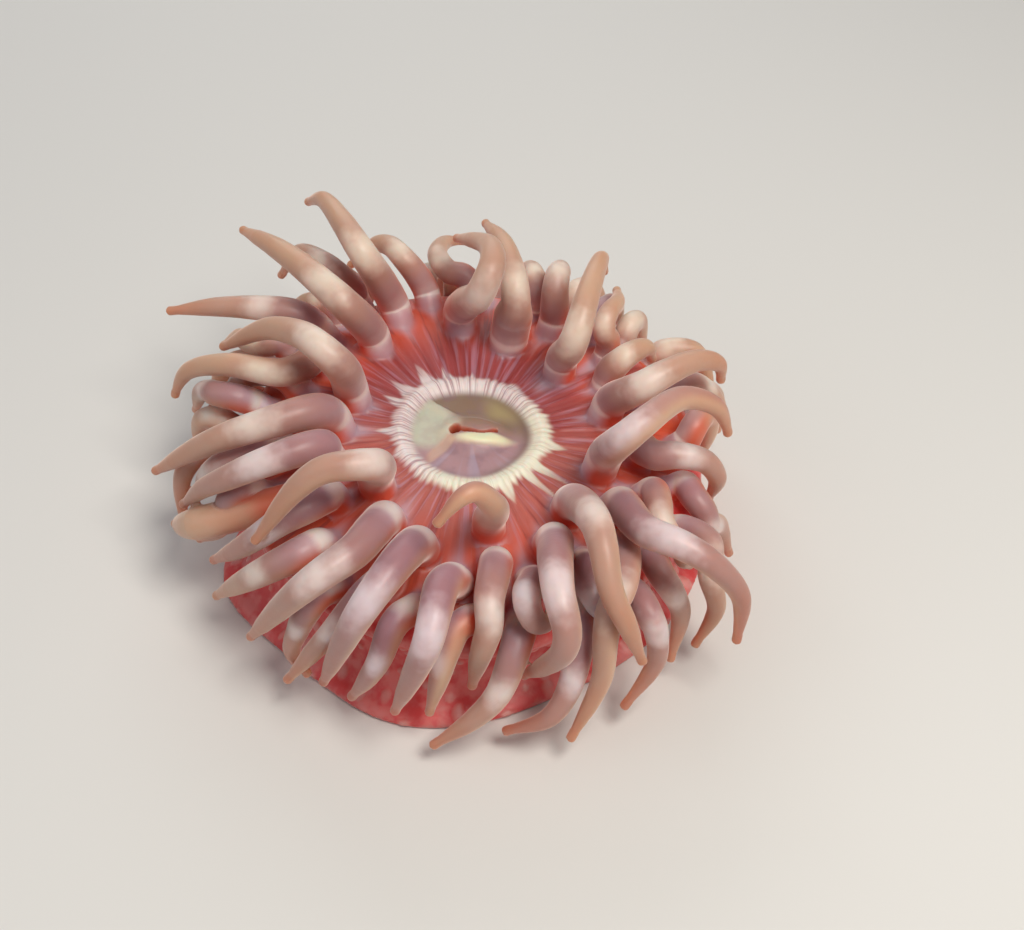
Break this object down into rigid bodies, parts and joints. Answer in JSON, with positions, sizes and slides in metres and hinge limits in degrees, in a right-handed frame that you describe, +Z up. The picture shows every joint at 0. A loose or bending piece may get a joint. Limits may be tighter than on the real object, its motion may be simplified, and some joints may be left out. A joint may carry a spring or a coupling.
{
  "type": "sea anemone",
  "caption": "Dahlia sea anemone, open and feeding: wide lobed foot, short column, flat oral disc with raised lips round a slit mouth, and a crown of stout hooked tentacles in cycles.",
  "frame": {"origin": "middle of the foot, on the surface it grips", "axes": "+Z up along the column, -Y towards the lower side of the leaning disc, which is the front, +X to the right of it"},
  "size_m": [0.1254, 0.1256, 0.0629],
  "materials": {
    "column": "wet flesh, strong red with paler warts, thick and slightly translucent",
    "disc": "wet flesh, crimson to orange-red with fine radial streaks and whitish rays",
    "lips": "wet flesh, a pleated cream-white ring round mauve and olive lips, with an orange mouth",
    "tentacle": "wet translucent flesh, mauve-pink at the base to peach at the tip, with two soft whitish bands"
  },
  "bodies": {
    "root": {"foot": "column", "column": "column", "collar": "column", "oral_disc": "disc", "lips": "lips", "tentacle_inner_01": "tentacle", "tentacle_inner_02": "tentacle", "tentacle_inner_03": "tentacle", "tentacle_inner_04": "tentacle", "tentacle_inner_05": "tentacle", "tentacle_inner_06": "tentacle", "tentacle_inner_07": "tentacle", "tentacle_inner_08": "tentacle", "tentacle_inner_09": "tentacle", "tentacle_inner_10": "tentacle", "tentacle_inner_11": "tentacle", "tentacle_inner_12": "tentacle", "tentacle_inner_13": "tentacle", "tentacle_inner_14": "tentacle", "tentacle_inner_15": "tentacle", "tentacle_middle_01": "tentacle", "tentacle_middle_02": "tentacle", "tentacle_middle_03": "tentacle", "tentacle_middle_04": "tentacle", "tentacle_middle_05": "tentacle", "tentacle_middle_06": "tentacle", "tentacle_middle_07": "tentacle", "tentacle_middle_08": "tentacle", "tentacle_middle_09": "tentacle", "tentacle_middle_10": "tentacle", "tentacle_middle_11": "tentacle", "tentacle_middle_12": "tentacle", "tentacle_middle_13": "tentacle", "tentacle_middle_14": "tentacle", "tentacle_middle_15": "tentacle", "tentacle_middle_16": "tentacle", "tentacle_middle_17": "tentacle", "tentacle_middle_18": "tentacle", "tentacle_middle_19": "tentacle", "tentacle_outer_01": "tentacle", "tentacle_outer_02": "tentacle", "tentacle_outer_03": "tentacle", "tentacle_outer_04": "tentacle", "tentacle_outer_05": "tentacle", "tentacle_outer_06": "tentacle", "tentacle_outer_07": "tentacle", "tentacle_outer_08": "tentacle", "tentacle_outer_09": "tentacle", "tentacle_outer_10": "tentacle", "tentacle_outer_11": "tentacle", "tentacle_outer_12": "tentacle", "tentacle_outer_13": "tentacle", "tentacle_outer_14": "tentacle", "tentacle_outer_15": "tentacle", "tentacle_outer_16": "tentacle", "tentacle_outer_17": "tentacle", "tentacle_outer_18": "tentacle", "tentacle_outer_19": "tentacle", "tentacle_outer_20": "tentacle", "tentacle_outer_21": "tentacle"}
  },
  "joints": []
}
